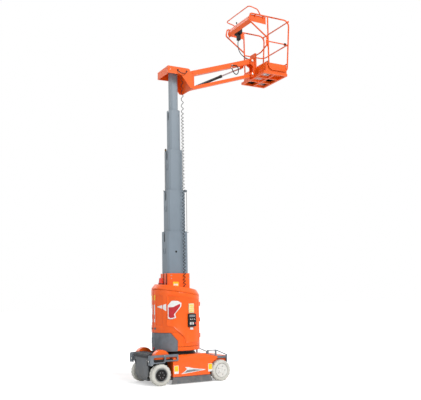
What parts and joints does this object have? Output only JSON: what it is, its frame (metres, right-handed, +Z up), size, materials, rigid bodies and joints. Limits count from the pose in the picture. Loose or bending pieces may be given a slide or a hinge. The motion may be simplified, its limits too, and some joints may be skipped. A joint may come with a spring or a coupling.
{
  "type": "vertical mast lift",
  "caption": "Compact wheeled mast lift with a slewing turret, telescopic mast, parallelogram jib and railed work basket.",
  "frame": {"origin": "on the ground under the middle of the machine's bounding box with the mast as in the picture", "axes": "+Z up, +X from the steered wheels to the fixed wheels and along the jib, +Y to the far side"},
  "size_m": [3.2704, 1, 7.5319],
  "materials": {
    "orange": "gloss",
    "mast_grey": "satin",
    "chassis_grey": "satin",
    "black": "satin",
    "black_plastic": "matte",
    "steel": "satin",
    "chrome": "polished",
    "rim": "satin",
    "tyre": "matte",
    "cast": "painted",
    "grating": "satin",
    "lens": "gloss",
    "cable": "matte"
  },
  "bodies": {
    "chassis": {"chassis_hull": "orange", "belly_pan": "chassis_grey", "front_frame": "black", "nose_panel": "chassis_grey", "nose_cover": "chassis_grey", "slew_ring": "black", "rear_axle": "steel", "steer_hump_R": "orange", "steer_hump_L": "orange", "steer_bracket_R": "chassis_grey", "steer_bracket_L": "chassis_grey", "deck_rail_R": "chassis_grey", "deck_rail_L": "chassis_grey"},
    "guard_R": {"pothole_guard_R": "chassis_grey"},
    "guard_L": {"pothole_guard_L": "chassis_grey"},
    "steer_rod": {"steer_rod": "steel"},
    "steer_R": {"knuckle_R": "black"},
    "steer_L": {"knuckle_L": "black"},
    "front_wheel_R": {"front_tyre_R": "tyre", "front_rim_R": "rim"},
    "front_wheel_L": {"front_tyre_L": "tyre", "front_rim_L": "rim"},
    "rear_wheel_R": {"rear_tyre_R": "tyre", "rear_rim_R": "rim"},
    "rear_wheel_L": {"rear_tyre_L": "tyre", "rear_rim_L": "rim"},
    "turret": {"turret_deck": "chassis_grey", "counterweight": "cast", "turret_cap": "orange", "turret_front_panel": "orange", "mast_outer": "orange", "battery_box": "black_plastic", "oil_tank": "black_plastic", "beacon": "lens", "coil_cable": "cable"},
    "door_R": {"turret_door_R": "orange", "ground_controls": "black_plastic"},
    "door_L": {"turret_door_L": "orange"},
    "stage_5": {"mast_stage_5": "mast_grey"},
    "stage_4": {"mast_stage_4": "mast_grey"},
    "stage_3": {"mast_stage_3": "mast_grey"},
    "stage_2": {"mast_stage_2": "mast_grey"},
    "stage_1": {"mast_stage_1": "mast_grey", "mast_head": "orange"},
    "jib_upper": {"jib_upper_arm": "orange"},
    "jib_lower": {"jib_lower_arm": "orange"},
    "jib_barrel": {"jib_barrel": "black"},
    "jib_rod": {"jib_rod": "chrome"},
    "basket": {"basket_bracket": "orange", "basket_floor": "orange", "floor_grating": "grating", "toe_board": "orange", "basket_rails": "orange", "console": "orange", "platform_controls": "black_plastic"},
    "gate": {"gate_bar": "orange"}
  },
  "joints": [
    {"name": "guard_R_lift", "type": "slide", "parent": "chassis", "child": "guard_R", "axis": [0, 0, 1], "range_m": [0, 0.05]},
    {"name": "guard_L_lift", "type": "slide", "parent": "chassis", "child": "guard_L", "axis": [0, 0, 1], "range_m": [0, 0.05]},
    {"name": "steering_rod", "type": "slide", "parent": "chassis", "child": "steer_rod", "axis": [0, 1, 0], "range_m": [-0.0786, 0.0786]},
    {"name": "steering_R", "type": "hinge", "parent": "chassis", "child": "steer_R", "pos_m": [-1.42523, -0.4365, 0.1905], "axis": [0, 0, 1], "range_deg": [-45, 45]},
    {"name": "steering_L", "type": "hinge", "parent": "chassis", "child": "steer_L", "pos_m": [-1.42523, 0.4365, 0.1905], "axis": [0, 0, 1], "range_deg": [-45, 45]},
    {"name": "front_wheel_R_spin", "type": "hinge", "parent": "steer_R", "child": "front_wheel_R", "pos_m": [-1.42523, -0.4365, 0.1905], "axis": [0, 1, 0], "continuous": true},
    {"name": "front_wheel_L_spin", "type": "hinge", "parent": "steer_L", "child": "front_wheel_L", "pos_m": [-1.42523, 0.4365, 0.1905], "axis": [0, 1, 0], "continuous": true},
    {"name": "rear_wheel_R_spin", "type": "hinge", "parent": "chassis", "child": "rear_wheel_R", "pos_m": [-0.20523, -0.4365, 0.1905], "axis": [0, 1, 0], "continuous": true},
    {"name": "rear_wheel_L_spin", "type": "hinge", "parent": "chassis", "child": "rear_wheel_L", "pos_m": [-0.20523, 0.4365, 0.1905], "axis": [0, 1, 0], "continuous": true},
    {"name": "slew", "type": "hinge", "parent": "chassis", "child": "turret", "pos_m": [-0.90523, 0, 0.515], "axis": [0, 0, 1], "range_deg": [-172.5, 172.5]},
    {"name": "door_R_hinge", "type": "hinge", "parent": "turret", "child": "door_R", "pos_m": [-0.52719, -0.26471, 0.66], "axis": [0, 0, 1], "range_deg": [0, 100]},
    {"name": "door_L_hinge", "type": "hinge", "parent": "turret", "child": "door_L", "pos_m": [-0.52719, 0.26471, 0.66], "axis": [0, 0, -1], "range_deg": [0, 100]},
    {"name": "mast_5", "type": "slide", "parent": "turret", "child": "stage_5", "axis": [0, 0, 1], "range_m": [-0.77, 0.26], "deforming": ["coil_cable"]},
    {"name": "mast_4", "type": "slide", "parent": "stage_5", "child": "stage_4", "axis": [0, 0, 1], "range_m": [-0.77, 0.26]},
    {"name": "mast_3", "type": "slide", "parent": "stage_4", "child": "stage_3", "axis": [0, 0, 1], "range_m": [-0.77, 0.26]},
    {"name": "mast_2", "type": "slide", "parent": "stage_3", "child": "stage_2", "axis": [0, 0, 1], "range_m": [-0.77, 0.26]},
    {"name": "mast_1", "type": "slide", "parent": "stage_2", "child": "stage_1", "axis": [0, 0, 1], "range_m": [-0.77, 0.26]},
    {"name": "jib", "type": "hinge", "parent": "stage_1", "child": "jib_upper", "pos_m": [-0.50023, 0, 6.02], "axis": [0, -1, 0], "range_deg": [-78.6, 51.4]},
    {"name": "jib_lower_pin", "type": "hinge", "parent": "stage_1", "child": "jib_lower", "pos_m": [-0.50023, 0, 5.725], "axis": [0, -1, 0], "range_deg": [-78.6, 51.4]},
    {"name": "jib_cylinder_foot", "type": "hinge", "parent": "stage_1", "child": "jib_barrel", "pos_m": [-0.50023, 0.13, 5.725], "axis": [0, -1, 0], "range_deg": [-76.3, 49.9]},
    {"name": "jib_cylinder_rod", "type": "slide", "parent": "jib_barrel", "child": "jib_rod", "axis": [0.8892, 0, 0.4576], "range_m": [-0.3215, 0.2105]},
    {"name": "basket_level", "type": "hinge", "parent": "jib_upper", "child": "basket", "pos_m": [0.92142, 0, 6.49844], "axis": [0, -1, 0], "range_deg": [-51.4, 78.6]},
    {"name": "gate_lift", "type": "hinge", "parent": "basket", "child": "gate", "pos_m": [1.08477, -0.435, 6.84], "axis": [0, -1, 0], "range_deg": [0, 80]}
  ],
  "couplings": [
    {"joint": "steering_L", "follows": "steering_R", "ratio": 1},
    {"joint": "steering_rod", "follows": "steering_R", "m_per_rad": 0.1},
    {"joint": "mast_4", "follows": "mast_5", "ratio": 1},
    {"joint": "mast_3", "follows": "mast_5", "ratio": 1},
    {"joint": "mast_2", "follows": "mast_5", "ratio": 1},
    {"joint": "mast_1", "follows": "mast_5", "ratio": 1},
    {"joint": "jib_lower_pin", "follows": "jib", "ratio": 1},
    {"joint": "jib_cylinder_foot", "follows": "jib", "ratio": 0.97},
    {"joint": "jib_cylinder_rod", "follows": "jib", "m_per_rad": 0.234},
    {"joint": "basket_level", "follows": "jib", "ratio": -1}
  ]
}
